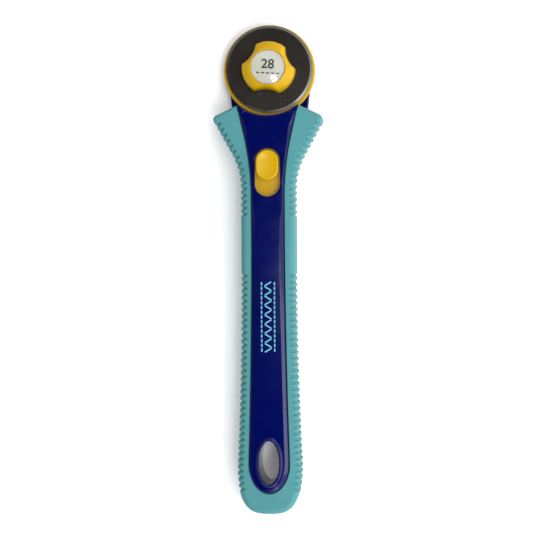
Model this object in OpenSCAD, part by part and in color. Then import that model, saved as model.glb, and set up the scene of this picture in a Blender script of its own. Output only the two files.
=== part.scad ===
// Rotary cutter with a sliding guard: a small round blade on a straight two-shell handle
// with a soft grip. The cutter lies on its back on z = 0, +Y runs along the handle towards
// the blade and +Z comes out of the front. A distance named d or ending in _d runs from the
// blade's centre towards the tail.

/* [Blade] */
// Diameter of the blade
blade_dia = 28; // [27:0.25:28]
// Thickness of the blade
blade_thick = 0.3; // [0.25:0.05:0.3]
// Diameter of the blade's centre hole
blade_hole = 8; // [7:0.5:9]
// Width of the ground bevel at the blade's edge
bevel_w = 0.75; // [0.5:0.05:1]

/* [Guard and slide] */
// Diameter of the guard disc
guard_dia = 29.6; // [29.2:0.1:29.6]
// Thickness of the guard disc and its tongue
guard_thick = 1.6; // [1.4:0.1:1.6]
// How far the guard slides back
travel = 5; // [4:0.5:5]
// How far the guard's centre sits behind the blade's centre when closed
guard_lag = 0.5; // [0.3:0.1:0.6]
// Width of the tongue and of the plate under the thumb button
tongue_w = 9.4; // [9:0.1:9.4]
// Width of the thumb button
button_w = 7.1; // [6.8:0.1:7.2]
// Length of the thumb button
button_len = 9.5; // [9:0.1:9.5]

/* [Handle] */
// Thickness of the handle, from its back to its front panel
handle_thick = 15; // [15:0.25:16]
// Distance from the blade's centre to the end of the tail
tail_d = 142.4; // [141:0.2:147]
// Half width of the front panel at its waist
panel_half = 5.2; // [5.2:0.05:5.5]
// Half width of the soft grip at its waist
grip_half = 8.6; // [8.4:0.05:9.2]
// Half width across the ears, to their corners before these are rounded
ear_half = 17.95; // [17.5:0.05:18.5]
// Width of the hanging hole
hang_w = 6.4; // [6:0.1:6.5]
// Length of the hanging hole
hang_len = 13.6; // [13:0.1:13.8]
// Distance between finger grooves
groove_pitch = 2; // [1.8:0.05:2]

/* [Knob and label] */
// Radius of the knob across its lobes
knob_r = 8.65; // [8.4:0.05:9]
// Diameter of the label
label_dia = 11; // [10.6:0.1:11.2]

/* [Hidden] */
$fn = 64;

// The cutter's box is centred on the origin: its ends are the guard's front and the tail.
blade_y = (tail_d + guard_lag - guard_dia / 2) / 2;

// Levels above the back
head_z = [0.3, 2.5];
floor_z = 1.6;
guard_z = [2.8, 2.8 + guard_thick];
split_z = 4.7;
hub_top = 4.8;
face_gap = 0.02;
blade_z = [hub_top + face_gap, hub_top + face_gap + blade_thick];
washer_z = [blade_z[1] + face_gap, 5.76];
knob_z = [5.8, 11.5];
insert_top = 9.2;
bolt_top = 9.5;
knob_bore_top = 9.9;
dish_z = 10.6;
label_z = [dish_z, 10.9];
dome_top = 11.4;
grip_z = [0.3, handle_thick - 0.6];
lip_z = handle_thick - 2;
ceiling_z = handle_thick - 1.8;
plate_z = [handle_thick - 3.8, ceiling_z - 0.3];
button_top = handle_thick + 1.8;

// Head of the handle
well_r = blade_dia / 2 + 1.6;
head_r = 13.8;
head_neck = [[13.5, 3], [12.4, 12], [11.2, 17]];
corner = [9.65, sqrt(well_r * well_r - 9.65 * 9.65)];
ear_slope = 0.465;
ear_tip_d = corner[1] + ear_slope * (ear_half - corner[0]);
ear_round = 1.6;

// Outline of the panel and of the hard body under the grip
panel_knee_d = 31.6;
panel_knee_r = 90;
panel_slope = (corner[0] - panel_half) / (panel_knee_d - corner[1]);
panel_flare_d = 50;
panel_flare_r = 2320;
panel_end_d = 126.2;
panel_end_len = 9.5;
body_grow = 1.5;

// Outline of the grip
flank_slope = 0.55;
flank_knee_d = ear_tip_d + (ear_half - grip_half) / flank_slope;
flank_knee_r = 22.5;
grip_flare_d = 65;
grip_flare_r = 1260;
tail_len = 16;
tail_power = 2 / 3;

// Button slot, hanging hole and inner rooms
slot_w = 8;
slot_len = 15.3;
slot_d = 33.8;
button_d = 31.5;
hang_d = 125.9;
rim_w = 1.1;
rim_h = 0.3;
shell_wall = 1.6;
room_end_d = 116;
tongue_end_d = 42.2;
plate_start_d = 20.2;
side_gap = 0.3;
room_d = [52, room_end_d];
post_size = [5, 10];

// Finger grooves: start distance and count of the upper and the lower series
groove_r = 0.55;
groove_series = [[18.8, 16], [66.5, 35]];

// Fasteners and bores
stud_r = 2.5;
stud_bore_r = 2.55;
bolt_head_r = 4.6;
bolt_head_z = [0.2, 1.3];
bolt_square = 6;
hub_r = 5.5;
insert_r = 3.8;
notch_r = 7.9;
notch_out = 14.7;
notch_turn = 24.5;
screw_head_r = 1.8;
screw_head_h = 1.2;
button_head_h = 0.8;
screw_r = 0.9;
pilot_r = 0.95;
boss_r = 2.4;
screw_end_z = 11.6;
head_screw_at = [6.5, 22.2];
middle_screw_d = 58;
tail_screw_d = 110;

// Detent springs: thin leaves whose crests sit in notches under the tongue
leaf_x = 2.6;
leaf_w = 1.8;
leaf_len = 16;
leaf_thick = 0.3;
leaf_z = 1.1;
leaf_rise = 1.7;
leaf_d = 24;
crest_half = 2.4;
notch_len = 5.2;
notch_depth = 0.6;

// ---- Outlines ----

// Half width at d of a side that tapers by slope to a straight waist through a knee of radius r
function tapered(d, w, knee_d, slope, r) =
    let (turn = atan(slope), end_d = knee_d + r * tan(turn / 2))
    d >= end_d ? w
    : d > end_d - r * sin(turn) ? w + r - sqrt(r * r - (end_d - d) * (end_d - d))
    : w + slope * (knee_d - d);

function panel_at(d) = tapered(d, panel_half, panel_knee_d, panel_slope, panel_knee_r)
    + pow(max(0, d - panel_flare_d), 2) / (2 * panel_flare_r);

function grip_at(d) = tapered(d, grip_half, flank_knee_d, flank_slope, flank_knee_r)
    + pow(max(0, d - grip_flare_d), 2) / (2 * grip_flare_r);

// Distance of a groove, counted from the first one, with the pitch measured along the side
function groove_at(start, i) = i == 0 ? start
    : let (d = groove_at(start, i - 1), rise = grip_at(d + 1) - grip_at(d))
        d + groove_pitch / sqrt(1 + rise * rise);

// Distances at which a side's points lie, close together only where the side bends
function side_steps(knee_d, knee_half, flare_d, end_d) = concat(
    [for (i = [-4:4]) knee_d + i / 4 * knee_half],
    [for (i = [0:7]) flare_d + i / 7 * (end_d - flare_d)]);

panel_steps = side_steps(panel_knee_d, 10.4, panel_flare_d, panel_end_d);
grip_steps = side_steps(flank_knee_d, 5.6, grip_flare_d, tail_d - tail_len);

// A point at half width x and distance d becomes a point of the drawing plane
function place(p) = [p[0], blade_y - p[1]];

// A closed outline from its right-hand side, listed from the head to the tail
function both_sides(right) = concat(
    [for (p = right) place(p)],
    [for (i = [len(right) - 1:-1:0]) if (right[i][0] > 0) place([-right[i][0], right[i][1]])]);

// Where the ears' front edge meets the hard body when it is grown sideways
function body_corner(grow) = corner + grow / (1 + panel_slope * ear_slope) * [1, ear_slope];

function body_side(grow) = concat(
    [for (d = panel_steps) [panel_at(d) + grow, d]],
    [for (a = [6:6:90])
        [(panel_at(panel_end_d) + grow) * cos(a), panel_end_d + (panel_end_len + grow) * sin(a)]]);

function well_arc() = let (end = asin(corner[0] / well_r))
    [for (i = [0:8]) well_r * [sin(end * i / 8), cos(end * i / 8)]];

module body_outline(grow) {
    polygon(both_sides(concat(well_arc(), grow > 0 ? [body_corner(grow)] : [], body_side(grow))));
}

// The same outline run on past the head, to cut the grip open there
module body_cutter(grow) {
    top = body_corner(grow);
    polygon(both_sides(concat([[top[0], 0], top], body_side(grow))));
}

ear_dir = [1, ear_slope] / norm([1, ear_slope]);
flank_dir = [-flank_slope, 1] / norm([-flank_slope, 1]);
ear_centre = [ear_half, ear_tip_d] + ear_round * (flank_dir - ear_dir);

grip_side = concat(
    [corner],
    [for (a = [0:22.5:90]) ear_centre + ear_round * (sin(a) * ear_dir - cos(a) * flank_dir)],
    [for (d = grip_steps) [grip_at(d), d]],
    [for (a = [8:8:88])
        [grip_at(tail_d - tail_len) * pow(cos(a), tail_power),
         tail_d - tail_len + tail_len * pow(sin(a), tail_power)]],
    [[0, tail_d]]);

module obround(w, len, d) {
    for (side = [-1, 1])
        translate([0, blade_y - d + side * (len - w) / 2]) circle(d = w);
    translate([-w / 2, blade_y - d - (len - w) / 2]) square([w, len - w]);
}

module ellipse(w, len, d) {
    polygon([for (a = [0:7.5:352.5]) place([w / 2 * cos(a), d + len / 2 * sin(a)])]);
}

// ---- Shared solids ----

module slab(levels) {
    translate([0, 0, levels[0]]) linear_extrude(levels[1] - levels[0]) children();
}

module at(x, d, z) {
    translate([x, blade_y - d, z]) children();
}

module cylinder_up(low, high, r) {
    translate([0, 0, low]) cylinder(h = high - low, r = r);
}

// Room that the guard disc and its tongue sweep
module guard_room() {
    slab([head_z[1], split_z]) {
        for (d = [guard_lag, guard_lag + travel])
            translate(place([0, d])) circle(r = guard_dia / 2 + side_gap);
        translate(place([-guard_dia / 2 - side_gap, guard_lag + travel]))
            square([guard_dia + 2 * side_gap, travel]);
        translate(place([-tongue_w / 2 - side_gap, tongue_end_d + travel + side_gap]))
            square([tongue_w + 2 * side_gap, tongue_end_d]);
    }
}

// Outline of the hard head plate behind the guard
module head_outline() {
    translate(place([0, 0])) circle(r = head_r);
    polygon(both_sides(head_neck));
}

// Hollow of a shell between two distances
module shell_room(levels, span) {
    slab(levels) intersection() {
        body_outline(body_grow - shell_wall);
        translate(place([-2 * panel_half, span[1]])) square([4 * panel_half, span[1] - span[0]]);
    }
}

module screw_places() {
    for (side = [-1, 1]) at(side * head_screw_at[0], head_screw_at[1], 0) children();
    at(0, middle_screw_d, 0) children();
    at(0, tail_screw_d, 0) children();
}

module case_screw() {
    color("silver") {
        translate([0, 0, 0.2]) difference() {
            cylinder(h = screw_head_h, r = screw_head_r);
            for (turn = [0, 90]) rotate(turn) translate([-1.1, -0.2, -1]) cube([2.2, 0.4, 1.6]);
        }
        translate([0, 0, 0.2]) cylinder(h = screw_end_z - 0.2, r = screw_r);
    }
}

// ---- Handle ----

module back_shell() {
    color("midnightblue") difference() {
        union() {
            difference() {
                slab([0, split_z]) body_outline(body_grow);
                shell_room([floor_z, split_z + 1], room_d);
            }
            slab(head_z) head_outline();
            intersection() {
                screw_places() cylinder(h = split_z, r = boss_r);
                slab([0, split_z]) body_outline(body_grow);
            }
        }
        guard_room();
        at(0, 0, 0) {
            cylinder(h = bolt_head_z[1], r = bolt_head_r + 0.2);
            translate([-1, -1, 0] * (bolt_square / 2 + 0.05))
                cube([bolt_square + 0.1, bolt_square + 0.1, split_z]);
        }
        screw_places() {
            translate([0, 0, -1]) cylinder(h = 1 + 0.2 + screw_head_h, r = screw_head_r + 0.1);
            cylinder(h = split_z + 1, r = pilot_r + 0.1);
        }
        for (side = [-1, 1])
            at(side * leaf_x - leaf_w / 2 - 0.1, leaf_d + leaf_len / 2 + 0.2, leaf_z)
                cube([leaf_w + 0.2, leaf_len + 0.4, split_z]);
        slab([-1, split_z + 1]) ellipse(hang_w, hang_len, hang_d);
    }
}

module front_shell() {
    color("midnightblue") difference() {
        union() {
            difference() {
                union() {
                    slab([split_z, lip_z]) body_outline(body_grow);
                    slab([lip_z, handle_thick]) body_outline(0);
                    slab([lip_z, handle_thick + rim_h])
                        ellipse(hang_w + 2 * rim_w, hang_len + 2 * rim_w, hang_d);
                }
                shell_room([split_z - 1, ceiling_z], [plate_start_d - side_gap, room_end_d]);
            }
            intersection() {
                screw_places() translate([0, 0, split_z]) cylinder(h = ceiling_z - split_z, r = boss_r);
                slab([split_z, ceiling_z]) difference() {
                    body_outline(body_grow);
                    translate(place([-tongue_w / 2 - side_gap, tongue_end_d + travel + side_gap]))
                        square([tongue_w + 2 * side_gap, tongue_end_d]);
                }
            }
        }
        slab([ceiling_z - 1, handle_thick + 1]) obround(slot_w, slot_len, slot_d);
        screw_places() cylinder(h = screw_end_z + 0.4, r = pilot_r);
        slab([split_z - 1, handle_thick + 1]) ellipse(hang_w, hang_len, hang_d);
    }
}

module soft_grip() {
    color("mediumaquamarine") difference() {
        slab(grip_z) polygon(both_sides(grip_side));
        slab([-1, lip_z]) body_cutter(body_grow);
        slab([lip_z - 1, handle_thick]) body_cutter(0);
        slab([-1, head_z[1]]) head_outline();
        guard_room();
        for (series = groove_series) for (i = [0:series[1] - 1]) for (side = [-1, 1]) {
            d = groove_at(series[0], i);
            at(side * grip_at(d), d, -1) cylinder(h = handle_thick + 1, r = groove_r, $fn = 16);
        }
    }
}

// ---- Guard and slide ----

module blade_guard() {
    hub_gap = hub_r + side_gap;
    edge = 0.4;
    r = guard_dia / 2;
    color("gold") difference() {
        union() {
            at(0, guard_lag, guard_z[0]) rotate_extrude()
                polygon([[0, 0], [r - edge, 0], [r, edge], [r, guard_thick - edge],
                         [r - edge, guard_thick], [0, guard_thick]]);
            at(-tongue_w / 2, tongue_end_d, guard_z[0])
                cube([tongue_w, tongue_end_d - r / 2, guard_thick]);
        }
        slab([guard_z[0] - 1, guard_z[1] + 1]) {
            translate(place([0, 0])) circle(r = hub_gap);
            translate(place([0, -travel])) circle(r = hub_gap);
            translate(place([-hub_gap, 0])) square([2 * hub_gap, travel]);
        }
        at(0, button_d, 0) {
            cylinder(h = guard_z[0] + button_head_h + 0.1, r = screw_head_r + 0.1);
            cylinder(h = split_z, r = pilot_r + 0.1);
        }
        for (side = [-1, 1]) for (back = [0, travel])
            at(side * leaf_x - leaf_w / 2 - 0.2, leaf_d - back + notch_len / 2, guard_z[0] - 1)
                cube([leaf_w + 0.4, notch_len, 1 + notch_depth]);
    }
}

module slide_button() {
    crown = 0.4;
    color("gold") difference() {
        union() {
            slab([plate_z[1] - 0.5, button_top - crown]) obround(button_w, button_len, button_d);
            slab([button_top - crown, button_top])
                obround(button_w - 2 * crown, button_len - 2 * crown, button_d);
            at(-tongue_w / 2, tongue_end_d, plate_z[0])
                cube([tongue_w, tongue_end_d - plate_start_d, plate_z[1] - plate_z[0]]);
            at(-post_size[0] / 2, button_d + post_size[1] / 2, guard_z[1])
                cube([post_size[0], post_size[1], plate_z[1] - guard_z[1]]);
        }
        at(0, button_d, 0) cylinder(h = screw_end_z + 0.6, r = pilot_r);
    }
}

module button_screw() {
    color("silver") at(0, button_d, guard_z[0] + 0.1) {
        cylinder(h = button_head_h, r = screw_head_r);
        cylinder(h = screw_end_z - guard_z[0], r = screw_r);
    }
}

module detent_spring(side) {
    function crest(y) = leaf_rise * (abs(y) < crest_half ? pow(cos(90 * y / crest_half), 2) : 0);
    ys = concat([-leaf_len / 2], [for (i = [-8:8]) i / 8 * crest_half], [leaf_len / 2]);
    color("lightgray")
        at(side * leaf_x - leaf_w / 2, leaf_d, leaf_z) rotate([90, 0, 90]) linear_extrude(leaf_w)
            polygon(concat([for (y = ys) [y, crest(y)]],
                           [for (i = [len(ys) - 1:-1:0]) [ys[i], crest(ys[i]) + leaf_thick]]));
}

// ---- Blade and knob ----

module blade_bolt() {
    color("silver") at(0, 0, 0) {
        cylinder_up(bolt_head_z[0], bolt_head_z[1], bolt_head_r);
        translate([-bolt_square / 2, -bolt_square / 2, bolt_head_z[0]])
            cube([bolt_square, bolt_square, head_z[1] - bolt_head_z[0]]);
        cylinder_up(bolt_head_z[0], bolt_top, stud_r);
    }
}

module blade_hub() {
    color("gray") at(0, 0, 0) difference() {
        union() {
            cylinder_up(head_z[1], hub_top, hub_r);
            cylinder_up(head_z[1], blade_z[1] - 0.05, blade_hole / 2 - 0.05);
        }
        cylinder(h = blade_z[1], r = stud_bore_r);
    }
}

module blade() {
    r = blade_dia / 2;
    color("dimgray") at(0, 0, blade_z[0]) rotate_extrude($fn = 128)
        polygon([[blade_hole / 2, 0], [r - bevel_w, 0], [r, blade_thick / 2],
                 [r - bevel_w, blade_thick], [blade_hole / 2, blade_thick]]);
}

module spring_washer() {
    thick = 0.4;
    color("silver") at(0, 0, 0) rotate_extrude()
        polygon([[stud_bore_r + 0.2, washer_z[1] - thick], [6.4, washer_z[0]],
                 [6.4, washer_z[0] + thick], [stud_bore_r + 0.2, washer_z[1]]]);
}

module knob() {
    edge = 0.7;
    color("gold") at(0, 0, 0) difference() {
        translate([0, 0, knob_z[0]]) rotate_extrude()
            polygon([[0, 0], [knob_r - 0.3, 0], [knob_r, 0.3], [knob_r, knob_z[1] - knob_z[0] - edge],
                     [knob_r - edge, knob_z[1] - knob_z[0]], [0, knob_z[1] - knob_z[0]]]);
        for (turn = [0:120:240]) rotate(notch_turn + turn) translate([notch_out, 0, 0])
            cylinder(h = 2 * knob_z[1], r = notch_r);
        cylinder(h = insert_top, r = insert_r);
        cylinder(h = knob_bore_top, r = stud_r + 0.2);
        cylinder_up(dish_z, knob_z[1] + 1, label_dia / 2 + 0.1);
    }
}

module knob_insert() {
    color("goldenrod") at(0, 0, 0) difference() {
        cylinder_up(knob_z[0], insert_top, insert_r);
        cylinder(h = insert_top + 1, r = stud_bore_r);
    }
}

module label_disc() {
    color("gainsboro") at(0, 0, 0) cylinder_up(label_z[0], label_z[1], label_dia / 2);
}

module label_dome() {
    r = label_dia / 2;
    rise = dome_top - label_z[1];
    ball_r = (r * r + rise * rise) / (2 * rise);
    sweep = asin(r / ball_r);
    color("white", 0.4) at(0, 0, label_z[1]) rotate_extrude()
        polygon(concat([[0, 0], [r, 0]],
            [for (i = [5:-1:0]) [ball_r * sin(sweep * i / 6), ball_r * (cos(sweep * i / 6) - 1) + rise]]));
}

// ---- Case screws ----

module head_screw_left() { at(-head_screw_at[0], head_screw_at[1], 0) case_screw(); }
module head_screw_right() { at(head_screw_at[0], head_screw_at[1], 0) case_screw(); }
module middle_screw() { at(0, middle_screw_d, 0) case_screw(); }
module tail_screw() { at(0, tail_screw_d, 0) case_screw(); }

back_shell();
front_shell();
soft_grip();
blade_guard();
slide_button();
button_screw();
detent_spring(-1);  // detent_spring_left
detent_spring(1);  // detent_spring_right
blade_bolt();
blade_hub();
blade();
spring_washer();
knob();
knob_insert();
label_disc();
label_dome();
head_screw_left();
head_screw_right();
middle_screw();
tail_screw();
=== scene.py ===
import math

import bmesh
import bpy
import numpy as np
from mathutils import Matrix, Vector, geometry


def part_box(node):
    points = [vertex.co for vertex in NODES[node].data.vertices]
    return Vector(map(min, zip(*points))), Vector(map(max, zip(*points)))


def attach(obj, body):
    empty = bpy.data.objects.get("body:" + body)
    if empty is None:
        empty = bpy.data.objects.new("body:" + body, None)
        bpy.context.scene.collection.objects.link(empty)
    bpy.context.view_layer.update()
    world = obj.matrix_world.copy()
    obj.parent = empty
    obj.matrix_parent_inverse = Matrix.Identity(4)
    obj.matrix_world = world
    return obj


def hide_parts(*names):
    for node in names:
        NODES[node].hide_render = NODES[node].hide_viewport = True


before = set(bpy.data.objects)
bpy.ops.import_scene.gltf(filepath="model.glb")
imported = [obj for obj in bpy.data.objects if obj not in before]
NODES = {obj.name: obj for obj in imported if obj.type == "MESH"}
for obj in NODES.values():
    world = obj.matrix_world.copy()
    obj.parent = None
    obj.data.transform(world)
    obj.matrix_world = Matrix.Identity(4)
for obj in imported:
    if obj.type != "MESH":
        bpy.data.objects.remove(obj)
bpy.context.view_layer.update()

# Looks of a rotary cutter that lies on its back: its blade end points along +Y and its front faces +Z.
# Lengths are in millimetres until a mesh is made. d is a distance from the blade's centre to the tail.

MM = 0.001
BOX = {name: [[c / MM for c in corner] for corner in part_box(name)] for name in NODES}


def span(node, axis=2):
    """Lowest and highest coordinate of a CAD node along an axis."""
    return BOX[node][0][axis], BOX[node][1][axis]


# ---- Sizes ----
# Names ending in _D are distances d, in _R radii and in _Z heights. A pair of heights is low, then high.

BLADE_Y = sum(span("blade", 1)) / 2
BLADE_R = (span("blade", 0)[1] - span("blade", 0)[0]) / 2
TAIL_D = BLADE_Y - span("soft_grip", 1)[0]
RIM_H = 0.3
PANEL_Z = span("front_shell")[1] - RIM_H
SPLIT_Z = span("front_shell")[0]
GRIP_Z = span("soft_grip")
LIP_Z = PANEL_Z - 2
CEILING_Z = PANEL_Z - 1.8
POCKET_Z = (span("blade_guard")[0] - 0.3, SPLIT_Z - 0.1)
HEAD_Z = (0.3, 2.5)

WELL_R = BLADE_R + 1.6
CORNER = (9.65, math.sqrt(WELL_R**2 - 9.65**2))
EAR_SLOPE = 0.465
EAR_HALF = 17.95
EAR_TIP_D = CORNER[1] + EAR_SLOPE * (EAR_HALF - CORNER[0])
EAR_ROUND = 1.6

PANEL_HALF = 5.2
PANEL_KNEE_D = 31.6
PANEL_KNEE_R = 90
PANEL_SLOPE = (CORNER[0] - PANEL_HALF) / (PANEL_KNEE_D - CORNER[1])
PANEL_FLARE_D = 50
PANEL_FLARE_R = 2320
PANEL_END_D = 126.2
PANEL_END_LEN = 9.5
# How far the grip's inner wall stands off the panel's outline, below the split and above it
BODY_GROW = 1.5
LINE_GROW = 0.03

GRIP_HALF = 8.6
FLANK_SLOPE = 0.55
FLANK_KNEE_D = EAR_TIP_D + (EAR_HALF - GRIP_HALF) / FLANK_SLOPE
FLANK_KNEE_R = 22.5
GRIP_FLARE_D = 65
GRIP_FLARE_R = 1260
TAIL_LEN = 16
TAIL_POWER = 2 / 3
# Rounding of the grip's edges: radius at the back, inset and drop at the front, share of them at the ears
GRIP_LOW_R = 1.5
GRIP_TOP_R = 1.8
GRIP_TOP_DROP = 2.0
EAR_SHARE = 0.55

# Each series of grooves has its first groove's d and its count.
GROOVE_PITCH = 2.0
GROOVE_SERIES = ((18.8, 16), (66.5, 35))
GROOVE_DEPTH = 0.5
GROOVE_LEN = 2.0
# Half widths of a groove at its floor and at its rim
GROOVE_FLOOR = 0.3
GROOVE_EDGE = 0.58
GROOVE_START_Z = (0.4, 1.2)
# Distance from a groove that stands for none near
NO_GROOVE = 9.0

# Width, length and the centre's d
SLOT = (8, 15.3, 33.8)
BUTTON = (7.1, 9.5, 31.5)
HANG = (6.4, 13.6, 125.9)
PLATE_D = (20.2, 42.2)
ROOM_D = (20, 116)
TRAVEL = 5
GUARD_LAG = 0.5
TONGUE_HALF = 4.7
SIDE_GAP = 0.3
HEAD_R = 13.8
# The head plate is a disc whose neck follows these (x, d).
HEAD_NECK = ((13.5, 3), (12.4, 12), (11.2, 17))
HUB_SLOT = (11.6, 16.6, -TRAVEL / 2)
# Each case screw's x and d, then radius and top of the holes for screw heads and for the bolt's
SCREWS = ((-6.5, 22.2), (6.5, 22.2), (0, 58), (0, 110))
SCREW_HOLE = (1.9, 1.4)
BOLT_HOLE = (4.8, 1.3)

BLADE_BORE_R = 4
# Width of the ground bevel, then of the painted shade line just inside it
BEVEL_W = 0.75
BEVEL_LINE_W = 0.14
# The knob's outline is a disc with three hollows of radius NOTCH_R.
KNOB_R = 8.65
NOTCH_R = 7.9
NOTCH_OUT = 14.7
NOTCH_TURN = 24.5
NOTCH_SOFT = 0.24
# Radius and top of the knob's bores for the insert and for the bolt's end
INSERT_BORE = (3.8, 9.2)
BOLT_BORE = (2.7, 9.9)
LABEL_R = 5.5
LABEL_TILT = 4
NUMERAL_SIZE = 4.2
CUT_COUNT = 5
CUT_PITCH = 1.6

STITCH_D = 68.4
STITCH_COUNT = 15
STITCH_PITCH = 1.5
STITCH_W = 0.42
ZIGZAG_HALF = 1.05
ROW_HALF = 2.05

FLOOR_HALF = 3000
FLOOR_Z = (-20, -0.02)

CAMERA_AT = (42, 0.4, 560)
CAMERA_AIM = (-1.2, 0.4, 5)
CAMERA_ROLL = -0.33
CAMERA_LENS = 116.6

# The world is brightest towards BRIGHT_SIDE, with the strengths WORLD_SIDES away from it and towards it.
WORLD_STRENGTH = 1.55
BRIGHT_SIDE = (0.85, -0.53, 0)
WORLD_SIDES = (0.1, 1.9)
# A dark patch overhead, with its half widths, keeps flat gloss from turning grey.
# It fades out where it is DARK_FADE times as wide.
DARK_CENTRE = (-0.25, -0.2)
DARK_SIZE = (0.34, 0.4)
DARK_FADE = 1.35
DARK_LEVEL = 0.01
# Name, place, target, size, power and colour
LIGHTS = (
    ("window", (250, -120, 580), (0, 0, 0), (260, 210), 0.9, (0.93, 0.98, 1)),
    ("glint", (100, -346, 580), (0, -70, 10), (110, 110), 0.5, (1, 1, 1)),
    ("lamp", (30, -12, 700), (0, BLADE_Y, 10), (60, 40), 0.7, (1, 1, 1)),
)


# ---- Outlines ----

def tapered(d, w, knee_d, slope, r):
    """Half width at d of a side that tapers to a straight waist through a knee of radius r."""
    turn = math.atan(slope)
    end_d = knee_d + r * math.tan(turn / 2)
    if d >= end_d:
        return w
    if d > end_d - r * math.sin(turn):
        return w + r - math.sqrt(r * r - (end_d - d) ** 2)
    return w + slope * (knee_d - d)


def panel_at(d):
    """Half width of the hard panel."""
    flare = max(0, d - PANEL_FLARE_D) ** 2 / (2 * PANEL_FLARE_R)
    return tapered(d, PANEL_HALF, PANEL_KNEE_D, PANEL_SLOPE, PANEL_KNEE_R) + flare


def grip_at(d):
    """Half width of the soft grip behind the ears."""
    flare = max(0, d - GRIP_FLARE_D) ** 2 / (2 * GRIP_FLARE_R)
    return tapered(d, GRIP_HALF, FLANK_KNEE_D, FLANK_SLOPE, FLANK_KNEE_R) + flare


def both_sides(right):
    """A closed anticlockwise outline from its right side, listed from head to tail as (x, d, ...)."""
    side = [(p[0], BLADE_Y - p[1], *p[2:]) for p in right]
    return [(-p[0], *p[1:]) for p in side] + [p for p in side[::-1] if p[0] > 0]


def between(a, b, count):
    """Evenly spaced values from a towards b, without b."""
    return [a + (b - a) * k / count for k in range(count)]


def body_corner(grow):
    """Where the ears' front edge meets the hard body when that is grown sideways."""
    out = grow / (1 + PANEL_SLOPE * EAR_SLOPE)
    return CORNER[0] + out, CORNER[1] + out * EAR_SLOPE


def body_side(grow):
    """The panel's right side and its rounded tail end, grown sideways."""
    ds = between(CORNER[1] + 2, 50, 26) + between(50, PANEL_END_D, 26)
    end = panel_at(PANEL_END_D) + grow
    turns = [math.radians(a) for a in range(0, 91, 4)]
    return [(panel_at(d) + grow, d) for d in ds] + [
        (end * math.cos(a), PANEL_END_D + (PANEL_END_LEN + grow) * math.sin(a)) for a in turns[:-1]
    ] + [(0, PANEL_END_D + PANEL_END_LEN + grow)]


def well_arc(count=20):
    """The hollow at the front of the body that the blade turns in."""
    end = math.asin(CORNER[0] / WELL_R)
    return [(WELL_R * math.sin(a), WELL_R * math.cos(a)) for a in between(0, end, count)]


def body_outline(grow):
    return both_sides(well_arc() + [CORNER, body_corner(grow)] + body_side(grow))


def hang_outline(count=96):
    """The hanging hole's clockwise outline, an ellipse."""
    width, length, d = HANG
    angles = [-2 * math.pi * (k + 1) / count for k in range(count)]
    return [(width / 2 * math.cos(a), BLADE_Y - d + length / 2 * math.sin(a)) for a in angles]


def obround(w, length, d, inward=True, count=24):
    """A slot's outline: two half circles joined by straight sides."""
    r, half = w / 2, (length - w) / 2
    points = []
    for centre, start in ((half, 0), (-half, math.pi)):
        for k in range(count + 1):
            a = start + math.pi * k / count
            points.append((r * math.cos(a), BLADE_Y - d + centre + r * math.sin(a)))
    return points[::-1] if inward else points


# ---- Mesh building ----

def smooth_step(low, high, value):
    t = np.clip((value - low) / (high - low), 0, 1)
    return t * t * (3 - 2 * t)


def mitres(points):
    """For each point of an anticlockwise outline, the vector that an inset of 1 mm moves it by."""
    p = np.array([q[:2] for q in points], float)
    a = p - np.roll(p, 1, 0)
    b = np.roll(p, -1, 0) - p
    a /= np.linalg.norm(a, axis=1)[:, None]
    b /= np.linalg.norm(b, axis=1)[:, None]
    m = np.stack([-(a + b)[:, 1], (a + b)[:, 0]], 1)
    return p, m * (2 / np.maximum((m * m).sum(1), 0.5))[:, None]


def ring(points, inset, z, weights=1.0):
    """The outline moved inwards by inset times each point's weight, at height z."""
    p, m = mitres(points)
    q = p + m * (inset * np.asarray(weights)).reshape(-1, 1)
    return [(x, y, z) for x, y in q]


def rounded(points, profile, weights=1.0):
    """Rings of an outline for a profile of (inset, z)."""
    return [ring(points, inset, z, weights) for inset, z in profile]


def quarter(r, z, height, up=True, steps=5):
    """Profile of a rounded edge: (inset, z) from the wall to the flat face at z, or back from it."""
    angles = [math.pi / 2 * k / steps for k in range(steps + 1)]
    sign = -1 if up else 1
    profile = [(r * (1 - math.cos(a)), z + sign * height * (1 - math.sin(a))) for a in angles]
    return profile if up else profile[::-1]


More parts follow.
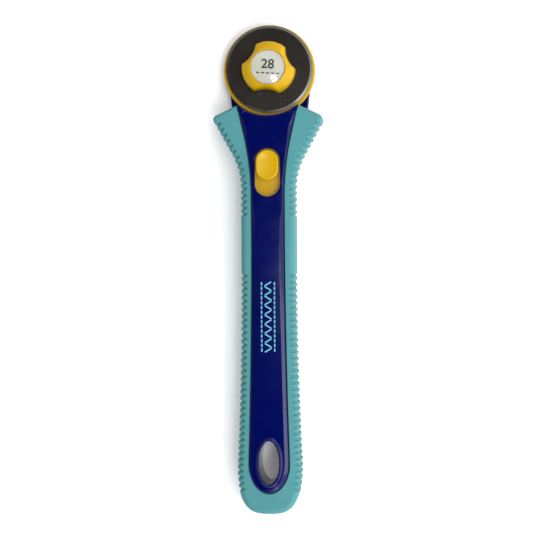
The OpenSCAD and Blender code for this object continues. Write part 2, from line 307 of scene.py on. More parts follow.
class Skin:
    """Gathers the points and faces of closed surfaces. marks are the faces' material numbers."""

    def __init__(self):
        self.points, self.faces, self.marks = [], [], []

    def wall(self, rings, mark=0, closed=False):
        """Joins rings of equal length and returns the point numbers of the first and the last."""
        start, n = len(self.points), len(rings[0])
        for one in rings:
            self.points += one
        last = len(rings) - 1
        for r in range(last + closed):
            a, b = start + r * n, start + (r + 1) % len(rings) * n
            for k in range(n):
                j = (k + 1) % n
                self.faces.append((a + k, a + j, b + j, b + k))
                self.marks.append(mark[r] if isinstance(mark, (list, tuple)) else mark)
        return range(start, start + n), range(start + last * n, start + (last + 1) * n)

    def cap(self, *loops, mark=0):
        """Fills the flat area inside the first loop and outside the others."""
        ids = [i for loop in loops for i in loop]
        edges, start = [], 0
        for loop in loops:
            n = len(loop)
            edges += [(start + k, start + (k + 1) % n) for k in range(n)]
            start += n
        flat = [Vector(self.points[i][:2]) for i in ids]
        placed, _, faces, origin, _, _ = geometry.delaunay_2d_cdt(flat, edges, [], 1, 1e-7)
        a, b = (np.array([flat[edge[end]] for edge in edges]) for end in (0, 1))
        for face in faces:
            x, y = sum((placed[v] for v in face), Vector((0, 0))) / 3
            beside = (a[:, 1] > y) != (b[:, 1] > y)
            from_a, to_b = a[beside], b[beside]
            meets = from_a[:, 0] + (y - from_a[:, 1]) * (to_b - from_a)[:, 0] / (to_b - from_a)[:, 1]
            if np.count_nonzero(meets > x) % 2:
                self.faces.append([ids[origin[v][0]] for v in face])
                self.marks.append(mark)

    def solid(self, rings, mark=0):
        """A closed solid: rings with a flat face at each end."""
        low, high = self.wall(rings, mark)
        self.cap(low, mark=mark)
        self.cap(high, mark=mark)

    def block(self, x, d, z, r=0.3):
        """A box with rounded upright corners and softened rims, from (low, high) pairs."""
        corners = ((x[1], d[0], 0), (x[0], d[0], 90), (x[0], d[1], 180), (x[1], d[1], 270))
        points = []
        for cx, cd, turn in corners:
            sx, sd = (1 if cx == x[1] else -1), (1 if cd == d[1] else -1)
            for k in range(5):
                a = math.radians(turn + 22.5 * k)
                points.append((cx - sx * r + r * math.cos(a), BLADE_Y - (cd - sd * r) + r * math.sin(a)))
        soft = min(r, 0.2) * 0.7
        low, high = quarter(soft, z[0], soft, False, 2), quarter(soft, z[1], soft, True, 2)
        self.solid(rounded(points, low + high))


def turned(profile, x=0, d=0, count=96):
    """Rings of a turned shape for a profile of (radius, z)."""
    angles = [2 * math.pi * k / count for k in range(count)]
    return [[(x + r * math.cos(a), BLADE_Y - d + r * math.sin(a), z) for a in angles] for r, z in profile]


def finish_mesh(name, mesh, body, materials, replaces=(), slot=None, sharp=38, weighted=True):
    """Makes the piece of a mesh: smooth shading, its materials, its body and what it stands for."""
    solid = bmesh.new()
    solid.from_mesh(mesh)
    bmesh.ops.recalc_face_normals(solid, faces=solid.faces)
    solid.to_mesh(mesh)
    solid.free()
    for material in materials:
        mesh.materials.append(material)
    mesh.shade_smooth()
    mesh.set_sharp_from_angle(angle=math.radians(sharp))
    made = bpy.data.objects.new(name, mesh)
    bpy.context.scene.collection.objects.link(made)
    if weighted:
        normals = made.modifiers.new("normals", "WEIGHTED_NORMAL")
        normals.keep_sharp = True
    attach(made, body)
    if replaces:
        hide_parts(*replaces)


def make_piece(name, skin, body, materials, **words):
    mesh = bpy.data.meshes.new(name)
    mesh.from_pydata([[c * MM for c in p] for p in skin.points], [], skin.faces)
    mesh.polygons.foreach_set("material_index", skin.marks)
    finish_mesh(name, mesh, body, materials, **words)


# ---- Materials ----

def linear(rgb):
    """Linear colour of an 8-bit sRGB one."""
    return [((c / 255 + 0.055) / 1.055) ** 2.4 if c > 10.3 else c / 255 / 12.92 for c in rgb] + [1.0]


class Shader:
    """A Principled material whose colour, roughness and bump come from noise in the row frame."""

    def __init__(self, name, **sockets):
        self.material = bpy.data.materials.new(name)
        self.material.use_nodes = True
        self.nodes = self.material.node_tree.nodes
        self.links = self.material.node_tree.links
        self.bsdf = self.nodes["Principled BSDF"]
        self.place = self.nodes.new("ShaderNodeTexCoord").outputs["Object"]
        for socket, value in sockets.items():
            self.bsdf.inputs[socket.replace("_", " ")].default_value = value

    def node(self, kind, **inputs):
        made = self.nodes.new("ShaderNode" + kind)
        for key, value in inputs.items():
            socket = made.inputs[key.replace("_", " ")]
            if isinstance(value, bpy.types.NodeSocket):
                self.links.new(value, socket)
            else:
                socket.default_value = value
        return made

    def noise(self, scale, detail=3.0, stretch=None, distortion=0.0):
        """Noise of about 0 to 1 with scale bumps a metre."""
        place = self.place
        if stretch:
            place = self.node("Mapping", Vector=place, Scale=stretch).outputs[0]
        made = self.node("TexNoise", Vector=place, Scale=scale, Detail=detail, Distortion=distortion)
        return made.outputs["Fac"]

    def spread(self, value, low, high, out_low=0.0, out_high=1.0):
        """Stretches a value from low..high to out_low..out_high, clamped."""
        made = self.nodes.new("ShaderNodeMapRange")
        for socket, number in zip(made.inputs[1:5], (low, high, out_low, out_high)):
            socket.default_value = number
        self.links.new(value, made.inputs[0])
        return made.outputs[0]

    def mix(self, factor, a, b):
        made = self.nodes.new("ShaderNodeMix")
        made.data_type = "RGBA"
        for socket, value in zip((made.inputs[0], made.inputs[6], made.inputs[7]), (factor, a, b)):
            if isinstance(value, bpy.types.NodeSocket):
                self.links.new(value, socket)
            else:
                socket.default_value = value
        return made.outputs[2]

    def worn_and_highlit_edges(self, amount=1.0):
        """High along convex edges, broken up by noise: wear and a painted edge highlight."""
        pointed = self.spread(self.node("NewGeometry").outputs["Pointiness"], 0.52, 0.6)
        broken = self.spread(self.noise(900), 0.45, 0.7, 0, amount)
        made = self.node("Math")
        made.operation = "MULTIPLY"
        self.links.new(pointed, made.inputs[0])
        self.links.new(broken, made.inputs[1])
        return made.outputs[0]

    def colour(self, value):
        self.links.new(value, self.bsdf.inputs["Base Color"])

    def roughness(self, value):
        self.links.new(value, self.bsdf.inputs["Roughness"])

    def bump(self, height, distance, strength=1.0, after=None):
        """Adds a bump; distance is in millimetres."""
        made = self.node("Bump", Height=height, Distance=distance * MM, Strength=strength)
        if after is not None:
            self.links.new(after, made.inputs["Normal"])
        self.links.new(made.outputs[0], self.bsdf.inputs["Normal"])
        return made.outputs[0]


def tones(rgb, dark=0.9, light=1.1):
    """A colour's darker and lighter neighbours."""
    base = linear(rgb)
    return [c * dark for c in base[:3]] + [1.0], [min(1.0, c * light) for c in base[:3]] + [1.0]


def moulded(name, rgb, rough, grain, shine, wear_and_highlight):
    """Moulded plastic: faint flow marks, fine grain, smudges in the gloss and paler convex edges, which
    are wear and a painted edge highlight.
    """
    s = Shader(name, Specular_IOR_Level=shine, IOR=1.47)
    dark, light = tones(rgb, 0.92, 1.08)
    flow = s.spread(s.noise(55, 4, (1, 0.35, 1), 0.6), 0.3, 0.7)
    body = s.mix(flow, dark, light)
    # Paler tone for the convex edges: wear and a painted edge highlight
    _, pale = tones(rgb, 1, 1.5)
    s.colour(s.mix(s.worn_and_highlit_edges(wear_and_highlight), body, pale))
    s.roughness(s.spread(s.noise(160, 5), 0.3, 0.7, rough * 0.85, rough * 1.2))
    s.bump(s.noise(9000, 2), grain)
    return s.material


def rubber(name, rgb):
    """Soft-touch rubber: matte, faintly grained, a little dusty and darker in places."""
    s = Shader(name, IOR=1.42, Specular_IOR_Level=0.3, Sheen_Weight=0.04, Sheen_Roughness=0.5)
    dark, light = tones(rgb, 0.93, 1.05)
    cloud = s.spread(s.noise(38, 5, (1, 0.5, 1)), 0.32, 0.68)
    dust = s.spread(s.noise(2600, 2), 0.66, 0.8, 0, 0.18)
    body = s.mix(cloud, dark, light)
    s.colour(s.mix(dust, body, linear([min(255, c + 40) for c in rgb])))
    s.roughness(s.spread(s.noise(220, 4), 0.3, 0.7, 0.58, 0.72))
    fine = s.bump(s.noise(5200, 3), 0.012)
    s.bump(s.noise(700, 2), 0.015, 0.5, fine)
    return s.material


def steel(name, rgb, rough, metallic=1.0, specks=0.0, patchy=0.28, grain=0.002):
    """Bare metal: uneven tone, patchy roughness and, if asked, light specks."""
    s = Shader(name, Metallic=metallic)
    dark, light = tones(rgb, 0.92, 1.08)
    body = s.mix(s.spread(s.noise(90, 2), 0.3, 0.7), dark, light)
    if specks:
        spots = s.spread(s.noise(1500, 1), 0.78, 0.82, 0, specks)
        body = s.mix(spots, body, linear((190, 180, 160)))
    s.colour(body)
    s.roughness(s.spread(s.noise(300, 2), 0.3, 0.7, rough * (1 - patchy), rough * (1 + patchy)))
    s.bump(s.noise(3000, 3), grain)
    return s.material


def printed(name, rgb, rough=0.5):
    """Ink or paper: a flat tone with fine mottling."""
    s = Shader(name)
    dark, light = tones(rgb, 0.92, 1.06)
    s.colour(s.mix(s.spread(s.noise(3000, 3), 0.3, 0.7), dark, light))
    s.roughness(s.spread(s.noise(500), 0.3, 0.7, rough * 0.9, rough * 1.1))
    s.bump(s.noise(6000, 2), 0.002)
    return s.material


def clear_coat(name):
    """The label's clear dome: what lies under it shows, and its skin mirrors the lights."""
    s = Shader(name, Base_Color=(1, 1, 1, 1), Metallic=1.0)
    s.roughness(s.spread(s.noise(300, 3), 0.3, 0.7, 0.07, 0.11))
    s.bump(s.noise(120, 1), 0.001)
    edge_on = s.node("LayerWeight", Blend=0.5).outputs["Facing"]
    steep = s.node("Math", Value=edge_on)
    steep.operation = "POWER"
    steep.inputs[1].default_value = 4
    shine = s.spread(steep.outputs[0], 0, 1, 0.045, 0.9)
    through = s.node("BsdfTransparent")
    both = s.node("MixShader")
    s.links.new(shine, both.inputs[0])
    s.links.new(through.outputs[0], both.inputs[1])
    s.links.new(s.bsdf.outputs[0], both.inputs[2])
    s.links.new(both.outputs[0], s.nodes["Material Output"].inputs["Surface"])
    return s.material


NAVY = moulded("navy_gloss", (0, 6, 67), 0.1, 0.0006, 0.24, 0.12)
TEAL = rubber("teal_rubber", (63, 123, 127))
# Darker teal for the groove floors: painted shade in the grooves
TEAL_GROOVE_SHADE = rubber("teal_groove_shade", (57, 118, 120))
YELLOW = moulded("yellow_plastic", (176, 138, 0), 0.26, 0.002, 0.2, 0.2)
DARK_STEEL = steel("dark_steel", (46, 43, 40), 0.3, 1.0, 0.5, 0.08, 0.0006)
GROUND_STEEL = steel("ground_steel", (98, 97, 94), 0.28)
# Near-black steel for a thin ring where the bevel begins: a painted shade line
BEVEL_SHADE_LINE = steel("bevel_shade_line", (18, 18, 17), 0.5, 0.6)
STEEL = steel("plated_steel", (170, 170, 168), 0.28)
BRASS = steel("brass", (190, 150, 80), 0.35)
PAPER = printed("label_paper", (177, 177, 166), 0.5)
INK = printed("label_ink", (22, 22, 22), 0.5)
STITCH_INK = printed("stitch_ink", (80, 152, 176), 0.45)
CLEAR = clear_coat("clear_dome")


# ---- Soft grip ----

def groove_centres(start, count):
    """Distances of a series of grooves, with the pitch measured along the side."""
    ds = [start]
    while len(ds) < count:
        rise = grip_at(ds[-1] + 1) - grip_at(ds[-1])
        ds.append(ds[-1] + GROOVE_PITCH / math.sqrt(1 + rise * rise))
    return ds


def grip_side():
    """The grip's right side as (x, d, share of the edge rounding, distance from a groove)."""
    ear = 1 / math.hypot(1, EAR_SLOPE)
    flank = 1 / math.hypot(1, FLANK_SLOPE)
    ear_dir = (ear, EAR_SLOPE * ear)
    flank_dir = (-FLANK_SLOPE * flank, flank)
    centre = [(EAR_HALF, EAR_TIP_D)[i] + EAR_ROUND * (flank_dir[i] - ear_dir[i]) for i in (0, 1)]
    tip = []
    for k in range(13):
        a = math.pi / 2 * k / 12
        tip.append([centre[i] + EAR_ROUND * (math.sin(a) * ear_dir[i] - math.cos(a) * flank_dir[i])
                    for i in (0, 1)])
    start = body_corner(BODY_GROW)
    front = [(start[0] + (tip[0][0] - start[0]) * t, start[1] + (tip[0][1] - start[1]) * t)
             for t in (0.12, 0.3, 0.5, 0.7, 0.88)]
    points = [(x, d, EAR_SHARE, NO_GROOVE) for x, d in front + tip]

    last_d = points[-1][1]
    offsets = (0.28, 0.36, 0.44, 0.52, 0.6)
    steps = [-1.0] + [-o for o in offsets[::-1]] + [0.0] + list(offsets)
    for start_d, count in GROOVE_SERIES:
        first = start_d - 1.1
        gap = max(1, round((first - last_d) / 2.2))
        points += [(grip_at(d), d, 0.0, NO_GROOVE) for d in between(last_d, first, gap)[1:]]
        for d in groove_centres(start_d, count):
            rise = grip_at(d + 0.5) - grip_at(d - 0.5)
            run = 1 / math.sqrt(1 + rise * rise)
            points += [(grip_at(d + o * run), d + o * run, 0.0, abs(o)) for o in steps]
        last_d = points[-1][1]
    tail_d = TAIL_D - TAIL_LEN
    half = grip_at(tail_d)
    points = [p for p in points if p[1] < tail_d or p[3] < NO_GROOVE]
    turns = [math.radians(a) for a in range(6, 90, 3)]
    for a in turns:
        d = tail_d + TAIL_LEN * math.sin(a) ** TAIL_POWER
        if d > last_d + 0.3:
            points.append((half * math.cos(a) ** TAIL_POWER, d, 1.0, NO_GROOVE))
    points.append((0, TAIL_D, 1.0, NO_GROOVE))
    # The rounding grows from the ear's to the flank's over the first stretch of the flank.
    grown = []
    for x, d, share, groove in points:
        if share == 0.0:
            along = float(smooth_step(EAR_TIP_D + 0.5, GROOVE_SERIES[0][0] - 0.7, d))
            share = EAR_SHARE + (1 - EAR_SHARE) * along
        grown.append((x, d, share, groove))
    return grown


def in_tail(points):
    """Puts the points of the straight formula onto the tail's curve where it has begun."""
    tail_d = TAIL_D - TAIL_LEN
    half = grip_at(tail_d)
    out = []
    for x, d, *rest in points:
        if d > tail_d:
            s = ((d - tail_d) / TAIL_LEN) ** (1 / TAIL_POWER)
            x = half * max(0.0, 1 - s * s) ** (TAIL_POWER / 2) if s < 0.9999 else 0.0
        out.append((x, d, *rest))
    return out


def grip_rings():
    """The grip's rings from the back up, and how deep each of their points lies in a groove."""
    side = in_tail(grip_side())
    # Each level: inset outside and inside, height, growth of the inner wall, outward and upward part
    levels = []
    for a in (0, 22.5, 45, 67.5, 90):
        s, c = math.sin(math.radians(a)), math.cos(math.radians(a))
        z = GRIP_Z[0] + GRIP_LOW_R * (1 - c)
        levels.append((GRIP_LOW_R * (1 - s), 0.25 * c, z, BODY_GROW, s, -c))
    for z in (POCKET_Z[0] - 0.05, *POCKET_Z, SPLIT_Z + 0.1, 8.0, 11.0):
        levels.append((0.0, 0.0, z, BODY_GROW if z < SPLIT_Z else LINE_GROW, 1.0, 0.0))
    for a in (90, 75, 60, 45, 32, 22, 14, 7, 0):
        s, c = math.sin(math.radians(a)), math.cos(math.radians(a))
        z = GRIP_Z[1] - GRIP_TOP_DROP * (1 - c)
        levels.append((GRIP_TOP_R * (1 - s), 0.22 * max(0, c - 0.7) / 0.3, z, LINE_GROW, s, c))
    for inset in (1.9, 2.0, 2.15):
        levels.append((inset, 0.22, GRIP_Z[1], LINE_GROW, 0.0, 1.0))

    rings, depths = [], []
    for inset, inner_inset, z, grow, across, up in levels:
        corner = body_corner(grow)
        outer = both_sides([(*corner, 0.3, NO_GROOVE)] + side)
        inner = both_sides(body_side(grow))[::-1]
        loop = [p[:2] for p in outer] + inner
        share = np.array([p[2] for p in outer])
        amounts = np.concatenate([share * inset, np.full(len(inner), inner_inset)])
        p, m = mitres(loop)
        placed = p + m * amounts[:, None]
        normal = m / np.linalg.norm(m, axis=1)[:, None]
        near = np.array([q[3] for q in outer] + [NO_GROOVE] * len(inner))
        past = max(0.0, inset - (GROOVE_LEN - 0.5))
        mask = 1 - smooth_step(GROOVE_FLOOR, GROOVE_EDGE, np.hypot(near, past))
        mask *= float(smooth_step(*GROOVE_START_Z, z))
        sunk = GROOVE_DEPTH * mask
        placed = placed + normal * (sunk * across)[:, None]
        heights = z - sunk * up
        # Room for the guard when it is slid back
        if z in POCKET_Z:
            reach = BOX["blade_guard"][1][0] + SIDE_GAP
            centre = np.array([0, BLADE_Y - TRAVEL - GUARD_LAG])
            from_centre = placed - centre
            away = np.linalg.norm(from_centre, axis=1)[:, None]
            placed = np.where(away < reach, centre + from_centre * reach / away, placed)
        rings.append([(x, y, h) for (x, y), h in zip(placed, heights)])
        depths.append(mask)
    return rings, np.array(depths)


def make_grip():
    skin = Skin()
    rings, depths = grip_rings()
    skin.solid(rings)
    # Faces deep in a groove take the darker teal, which is painted shade
    level = depths[:-1] + depths[1:]
    sunk = (level + np.roll(level, -1, 1)).ravel() > 2.2
    skin.marks[:len(sunk)] = [int(s) for s in sunk]
    make_piece("grip_skin", skin, "handle", [TEAL, TEAL_GROOVE_SHADE], replaces=["soft_grip"], slot="grip")


# ---- Hard shells ----

def edge_share(x, y):
    """Share of the panel's edge rounding: little at its sharp front corners and along the blade's well."""
    away = math.hypot(abs(x) - CORNER[0], y - (BLADE_Y - CORNER[1]))
    d = BLADE_Y - y
    beside_slot = float(smooth_step(18, 26, d) * (1 - smooth_step(42, 52, d)))
    share = (0.08 + 0.92 * float(smooth_step(0, 9, away))) * (1 - 0.6 * beside_slot)
    return min(share, 0.3) if math.hypot(x, y - BLADE_Y) < WELL_R + 0.05 else share


def make_front_shell():
    skin = Skin()
    line = both_sides(well_arc() + [CORNER] + body_side(0))
    weights = np.array([edge_share(x, y) for x, y in line])
    rings = [ring(line, 0, z) for z in (SPLIT_Z, LIP_Z)]
    rings += [ring(line, inset, PANEL_Z - drop, weights) for inset, drop in (
        (0, 1.0), (0.04, 0.76), (0.12, 0.56), (0.24, 0.36), (0.4, 0.27), (0.75, 0.19), (1.1, 0.11),
        (1.3, 0.035), (1.45, 0))]
    base, top = skin.wall(rings)

    slot_line = obround(*SLOT)
    slot_low, slot_top = skin.wall(rounded(
        slot_line, [(0, CEILING_Z), (0, PANEL_Z - 0.35)] + quarter(0.14, PANEL_Z, 0.14, True, 4)))
    hang = hang_outline()
    crest = PANEL_Z + RIM_H
    hang_low, hang_top = skin.wall(rounded(hang, [
        (0, SPLIT_Z), (0, crest - 0.6), (0.06, crest - 0.3), (0.2, crest - 0.1), (0.42, crest),
        (0.66, crest - 0.04), (0.86, crest - 0.14), (1.0, crest - 0.24), (1.12, PANEL_Z + 0.01),
        (1.25, PANEL_Z)]))
    room = both_sides([(0, ROOM_D[0])] + [
        (panel_at(d) - 0.1, d) for d in between(*ROOM_D, 30) + [ROOM_D[1]]] + [(0, ROOM_D[1])])[::-1]
    room_low, room_top = skin.wall([ring(room, 0, z) for z in (SPLIT_Z, CEILING_Z)])
    skin.cap(top, slot_top, hang_top)
    skin.cap(base, room_low, hang_low)
    skin.cap(room_top, slot_low)
    make_piece("front_skin", skin, "handle", [NAVY], replaces=["front_shell"], slot="shell")


def make_back_shell():
    skin = Skin()
    outline = body_outline(BODY_GROW)
    hang = hang_outline()
    base, top = skin.wall(rounded(outline, quarter(0.3, 0, 0.3, False) + [(0, HEAD_Z[1])]))
    hang_low, hang_top = skin.wall(rounded(hang, quarter(0.5, 0, 0.5, False) + [(0, HEAD_Z[1])]))
    holes = []
    r, depth = SCREW_HOLE
    for x, d in SCREWS:
        low, high = skin.wall(turned([(r + 0.06, 0), (r, 0.08), (r, depth)], x, d, 48))
        holes.append(low)
        skin.cap(high)
    skin.cap(base, hang_low, *holes)
    skin.cap(top, hang_top)

    # Upper part of the back shell, cut away where the guard slides
    r = BOX["blade_guard"][1][0] + SIDE_GAP
    side = TONGUE_HALF + SIDE_GAP
    half = panel_at(16) + BODY_GROW
    ends = [math.asin(v / r) for v in (side, half)]
    arc = [(r * math.sin(a), TRAVEL + GUARD_LAG + r * math.cos(a))
           for a in between(ends[0], ends[1], 10) + [ends[1]]]
    stop = PLATE_D[1] + TRAVEL + SIDE_GAP
    wall = both_sides([(0, stop), (side, stop)] + arc + [
        p for p in body_side(BODY_GROW) if p[1] > arc[-1][1] + 0.2])
    hang_low, hang_top = skin.wall(rounded(hang, [(0, HEAD_Z[1] - 0.1), (0, SPLIT_Z - 0.02)]))
    low, high = skin.wall(rounded(wall, [(0, HEAD_Z[1] - 0.1), (0, SPLIT_Z - 0.02)]))
    skin.cap(low, hang_low)
    skin.cap(high, hang_top)

    # Head plate behind the guard
    turns = between(0, math.pi - math.acos(HEAD_NECK[0][1] / HEAD_R), 40)
    head = both_sides([(0, -HEAD_R)] + [(HEAD_R * math.sin(a), -HEAD_R * math.cos(a)) for a in turns[1:]]
                      + list(HEAD_NECK) + [(0, HEAD_NECK[-1][1])])
    edge = quarter(0.5, HEAD_Z[0], 0.5, False, 4) + quarter(0.5, HEAD_Z[1], 0.5, True, 4)
    base, top = skin.wall(rounded(head, edge))
    r, depth = BOLT_HOLE
    low, high = skin.wall(turned([(r + 0.3, HEAD_Z[0]), (r + 0.08, HEAD_Z[0] + 0.08),
                                  (r, HEAD_Z[0] + 0.3), (r, depth)], count=64))
    skin.cap(base, low)
    skin.cap(high)
    skin.cap(top)
    make_piece("back_skin", skin, "handle", [NAVY], replaces=["back_shell"], slot="shell")


# ---- Guard, button, blade ----

def make_guard():
    skin = Skin()
    r = BOX["blade_guard"][1][0]
    low_z, high_z = span("blade_guard")
    start = math.pi - math.asin(TONGUE_HALF / r)
    turns = between(0, start, 70)
    end = BLADE_Y - span("blade_guard", 1)[0]
    right = [(r * math.sin(a), GUARD_LAG - r * math.cos(a)) for a in turns] + [
        (TONGUE_HALF, GUARD_LAG - r * math.cos(start)), (TONGUE_HALF, end - 0.8),
        (TONGUE_HALF - 0.24, end - 0.24), (TONGUE_HALF - 0.8, end), (0, end)]
    edge = quarter(0.4, low_z, 0.4, False, 4) + quarter(0.55, high_z, 0.45, True, 5)
    base, top = skin.wall(rounded(both_sides(right), edge))
    hub_edge = quarter(0.2, low_z, 0.2, False, 3) + quarter(0.2, high_z, 0.2)
    hub_low, hub_top = skin.wall(rounded(obround(*HUB_SLOT), hub_edge))
    skin.cap(base, hub_low)
    skin.cap(top, hub_top)
    make_piece("guard_disc", skin, "guard", [YELLOW], replaces=["blade_guard"], slot="yellow")


def make_slider():
    skin = Skin()
    top = span("slide_button")[1]
    plate = (PANEL_Z - 3.8, CEILING_Z - 0.3)
    button = obround(*BUTTON, inward=False)
    skin.solid(rounded(button, [
        (0, plate[1] - 0.5), (0, top - 0.75), (0.03, top - 0.4), (0.1, top - 0.2), (0.21, top - 0.07),
        (0.34, top), (0.46, top - 0.02), (0.58, top - 0.08), (0.74, top - 0.13), (1.3, top - 0.18),
        (2.1, top - 0.24), (2.9, top - 0.27)]))
    skin.block((-TONGUE_HALF, TONGUE_HALF), PLATE_D, plate, 0.5)
    skin.block((-2.5, 2.5), (BUTTON[2] - 5, BUTTON[2] + 5), (span("slide_button")[0], plate[0] + 0.2))
    make_piece("thumb_slider", skin, "guard", [YELLOW], replaces=["slide_button"], slot="yellow")


def make_blade():
    skin = Skin()
    low, high = span("blade")
    middle = (low + high) / 2
    bevel = BLADE_R - BEVEL_W
    line = bevel - BEVEL_LINE_W
    bore = BLADE_BORE_R
    # The ring from line to bevel gets the near-black steel, a painted shade line
    profile = [(bore, low), (line, low), (bevel, low), (BLADE_R, middle),
               (bevel, high), (line, high), (bore, high)]
    skin.wall(turned(profile, count=192), mark=[0, 2, 1, 1, 2, 0, 0], closed=True)
    make_piece("blade_disc", skin, "blade", [DARK_STEEL, GROUND_STEEL, BEVEL_SHADE_LINE],
               replaces=["blade"], slot="blade_steel", sharp=5, weighted=False)


# ---- Knob and label ----

def knob_radius(a):
    """Radius of the knob's outline: a circle with three hollows whose corners are rounded."""
    r = KNOB_R
    for k in range(3):
        turn = a - math.radians(NOTCH_TURN + 120 * k)
        across = NOTCH_OUT * math.sin(turn)
        if math.cos(turn) > 0 and abs(across) < NOTCH_R:
            near = NOTCH_OUT * math.cos(turn) - math.sqrt(NOTCH_R**2 - across**2)
            r = -NOTCH_SOFT * math.log(math.exp(-r / NOTCH_SOFT) + math.exp(-near / NOTCH_SOFT))
    return r


def make_knob():
    skin = Skin()
    low, high = span("knob")
    count = 288
    angles = [2 * math.pi * k / count for k in range(count)]
    line = [(knob_radius(a) * math.cos(a), BLADE_Y + knob_radius(a) * math.sin(a)) for a in angles]
    wall = rounded(line, [(0.3, low), (0.08, low + 0.08), (0, low + 0.3)])
    rim = wall[-1]
    lip = LABEL_R + 0.1
    # The sides lean in and the top slopes up to the label: (share of the way in, drop from the top)
    for share, drop in ((0, 4.1), (0.02, 3.3), (0.05, 2.6), (0.1, 2.0), (0.17, 1.55), (0.26, 1.22),
                        (0.38, 0.9), (0.52, 0.6), (0.68, 0.32), (0.82, 0.12), (0.93, 0), (1, 0.05)):
        wall.append([(x + (lip * math.cos(a) - x) * share,
                      y + (BLADE_Y + lip * math.sin(a) - y) * share, high - drop)
                     for (x, y, _), a in zip(rim, angles)])
    floor_z = span("label_disc")[0]
    wall += turned([(lip, high - 0.15), (lip, floor_z)], count=count)
    base, top = skin.wall(wall)
    skin.cap(top)
    (wide_r, wide_z), (narrow_r, narrow_z) = INSERT_BORE, BOLT_BORE
    bore = turned([(wide_r + 0.15, low), (wide_r, low + 0.15), (wide_r, wide_z),
                   (narrow_r, wide_z + 0.1), (narrow_r, narrow_z)], count=64)
    bore_low, bore_top = skin.wall(bore)
    skin.cap(base, bore_low)
    skin.cap(bore_top)
    make_piece("knob_body", skin, "knob", [YELLOW], replaces=["knob"], slot="yellow")


def make_label():
    skin = Skin()
    low, high = span("label_disc")
    skin.solid(turned([(LABEL_R - 0.06, low), (LABEL_R, low + 0.05), (LABEL_R, high - 0.05),
                       (LABEL_R - 0.05, high)], count=128))
    make_piece("label_paper", skin, "knob", [PAPER], replaces=["label_disc"], slot="label")

    dome = Skin()
    low, high = span("label_dome")
    rise = high - low
    ball = (LABEL_R**2 + rise**2) / (2 * rise)
    sweep = math.asin(LABEL_R / ball)
    profile = [(LABEL_R, low + 0.05), (LABEL_R, low + 0.06)]
    for k in range(3, 24):
        a = sweep * (1 - k / 24)
        profile.append((ball * math.sin(a), high - ball * (1 - math.cos(a))))
    dome.solid(turned(profile, count=128))
    make_piece("label_lens", dome, "knob", [CLEAR], replaces=["label_dome"], slot="clear", weighted=False)


def make_print():
    """The size numeral and a dashed cutting line on the label."""
    words = bpy.data.curves.new("size_numeral", "FONT")
    words.body = "28"
    words.size = NUMERAL_SIZE * MM
    words.extrude = 0.015 * MM
    words.offset = 0.08 * MM
    words.align_x, words.align_y = "CENTER", "CENTER"
    text = bpy.data.objects.new("size_numeral", words)
    mesh = bpy.data.meshes.new_from_object(text)
    bpy.data.objects.remove(text)
    tilt = Matrix.Rotation(math.radians(-LABEL_TILT), 4, "Z")
    z = span("label_disc")[1] * MM
    mesh.transform(Matrix.Translation((0, (BLADE_Y + 0.9) * MM, z + 0.015 * MM)) @ tilt)
    solid = bmesh.new()
    solid.from_mesh(mesh)
    bmesh.ops.remove_doubles(solid, verts=solid.verts, dist=1e-7)
    solid.to_mesh(mesh)
    solid.free()
    finish_mesh("size_numeral", mesh, "knob", [INK], slot="label", weighted=False)

    dashes = Skin()
    z = span("label_disc")[1]
    for k in range(CUT_COUNT):
        x = CUT_PITCH * (k - (CUT_COUNT - 1) / 2)
        y = BLADE_Y - 1.9 - math.tan(math.radians(LABEL_TILT)) * x
        dash = [(x - 0.5, y - 0.17), (x + 0.5, y - 0.24), (x + 0.52, y + 0.17), (x - 0.48, y + 0.24)]
        dashes.solid([[(*p, z) for p in dash], [(*p, z + 0.03) for p in dash]])
    make_piece("label_cut_line", dashes, "knob", [INK], slot="label", weighted=False)


# ---- Panel ornament ----

def make_stitches():
    """A zigzag stitch between two rows of running stitch, printed along the panel."""
    skin = Skin()
    z = (PANEL_Z - 0.02, PANEL_Z + 0.03)

    def dash(ax, ad, bx, bd):
        run = math.hypot(bx - ax, bd - ad)
        px, pd = (bd - ad) / run * STITCH_W / 2, -(bx - ax) / run * STITCH_W / 2
        corners = [(ax + px, ad + pd), (ax - px, ad - pd), (bx - px, bd - pd), (bx + px, bd + pd)]
        loop = [(x, BLADE_Y - d) for x, d in corners]
        skin.solid([[(*p, z[0]) for p in loop], [(*p, z[1]) for p in loop]])

    for k in range(STITCH_COUNT):
        d = STITCH_D + STITCH_PITCH * k
        end = d + STITCH_PITCH
        side = ZIGZAG_HALF if k % 2 else -ZIGZAG_HALF
        dash(-side, d + 0.12, side, end - 0.12)
        for x in (-ROW_HALF, ROW_HALF):
            dash(x, d + 0.2, x, end - 0.25)
    make_piece("panel_stitches", skin, "handle", [STITCH_INK], slot="shell", weighted=False)


# ---- Camera, light, floor ----

def aim(obj, target, roll=0.0):
    look = Vector(target) - obj.location
    back = -look.normalized()
    up = Vector((0, 1, 0)) if abs(back.y) < 0.9 else Vector((0, 0, 1))
    right = up.cross(back).normalized()
    turn = Matrix((right, back.cross(right), back)).transposed().to_4x4()
    obj.rotation_euler = (turn @ Matrix.Rotation(roll, 4, "Z")).to_euler()


def make_camera():
    camera = bpy.data.objects.new("camera", bpy.data.cameras.new("camera"))
    bpy.context.scene.collection.objects.link(camera)
    camera.location = [c * MM for c in CAMERA_AT]
    camera.data.lens = CAMERA_LENS
    camera.data.sensor_width = 36
    camera.data.clip_start, camera.data.clip_end = 0.01, 20
    aim(camera, [c * MM for c in CAMERA_AIM], math.radians(CAMERA_ROLL))
    bpy.context.scene.camera = camera


def make_light(name, place, target, size, power, colour):
    light = bpy.data.lights.new(name, "AREA")
    light.shape = "RECTANGLE"
    light.size, light.size_y = [s * MM for s in size]
    light.energy = power
    light.color = colour
    lamp = bpy.data.objects.new(name, light)
    bpy.context.scene.collection.objects.link(lamp)
    lamp.location = [c * MM for c in place]
    aim(lamp, [c * MM for c in target])


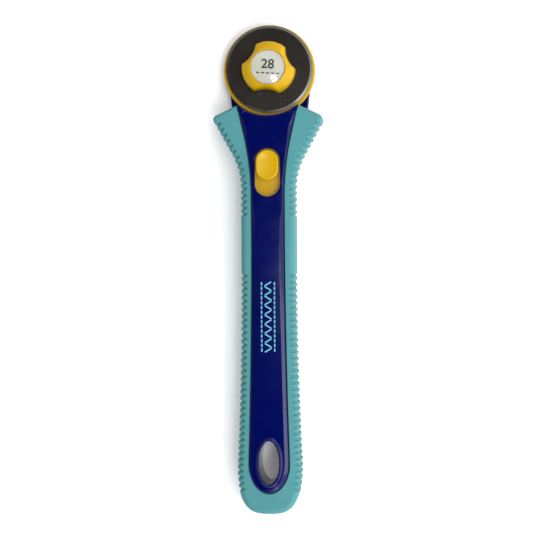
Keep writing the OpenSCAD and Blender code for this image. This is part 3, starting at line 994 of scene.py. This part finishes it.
def make_stage():
    world = bpy.data.worlds.new("studio")
    world.use_nodes = True
    nodes, links = world.node_tree.nodes, world.node_tree.links
    direction = nodes.new("ShaderNodeTexCoord").outputs["Generated"]
    toward = nodes.new("ShaderNodeVectorMath")
    toward.operation = "DOT_PRODUCT"
    toward.inputs[1].default_value = BRIGHT_SIDE
    links.new(direction, toward.inputs[0])
    patch = nodes.new("ShaderNodeMapping")
    patch.inputs["Location"].default_value = (
        -DARK_CENTRE[0] / DARK_SIZE[0], -DARK_CENTRE[1] / DARK_SIZE[1], 0)
    patch.inputs["Scale"].default_value = (1 / DARK_SIZE[0], 1 / DARK_SIZE[1], 0)
    away = nodes.new("ShaderNodeVectorMath")
    away.operation = "LENGTH"
    links.new(direction, patch.inputs["Vector"])
    links.new(patch.outputs[0], away.inputs[0])
    lit, side, both = (nodes.new("ShaderNode" + kind) for kind in ("MapRange", "MapRange", "Math"))
    for node, value, numbers in ((lit, away.outputs["Value"], (1, DARK_FADE, DARK_LEVEL, 1)),
                                 (side, toward.outputs["Value"], (-1, 1, *WORLD_SIDES))):
        links.new(value, node.inputs[0])
        for socket, number in zip(node.inputs[1:5], numbers):
            socket.default_value = number
    both.operation = "MULTIPLY"
    links.new(lit.outputs[0], both.inputs[0])
    links.new(side.outputs[0], both.inputs[1])
    links.new(both.outputs[0], nodes["Background"].inputs["Color"])
    nodes["Background"].inputs["Strength"].default_value = WORLD_STRENGTH
    bpy.context.scene.world = world

    skin = Skin()
    half = FLOOR_HALF
    skin.solid([[(x, y, z) for x, y in ((-half, -half), (half, -half), (half, half), (-half, half))]
                for z in FLOOR_Z])
    s = Shader("floor_paper")
    s.colour(s.mix(s.spread(s.noise(3), 0.3, 0.7), (0.9, 0.9, 0.9, 1), (0.92, 0.92, 0.92, 1)))
    s.roughness(s.spread(s.noise(20), 0.3, 0.7, 0.85, 0.95))
    mesh = bpy.data.meshes.new("floor")
    mesh.from_pydata([[c * MM for c in p] for p in skin.points], [], skin.faces)
    mesh.materials.append(s.material)
    floor = bpy.data.objects.new("floor", mesh)
    bpy.context.scene.collection.objects.link(floor)

    for words in LIGHTS:
        make_light(*words)
    bpy.context.scene.view_settings.view_transform = "Standard"


make_camera()
make_stage()
make_grip()
make_front_shell()
make_back_shell()
make_guard()
make_slider()
make_blade()
make_knob()
make_label()
make_print()
make_stitches()

for node, material in {
    "blade_bolt": STEEL, "blade_hub": STEEL, "spring_washer": STEEL, "button_screw": STEEL,
    "detent_spring_left": STEEL, "detent_spring_right": STEEL, "knob_insert": BRASS,
    "head_screw_left": STEEL, "head_screw_right": STEEL, "middle_screw": STEEL, "tail_screw": STEEL,
}.items():
    NODES[node].data.materials.clear()
    NODES[node].data.materials.append(material)
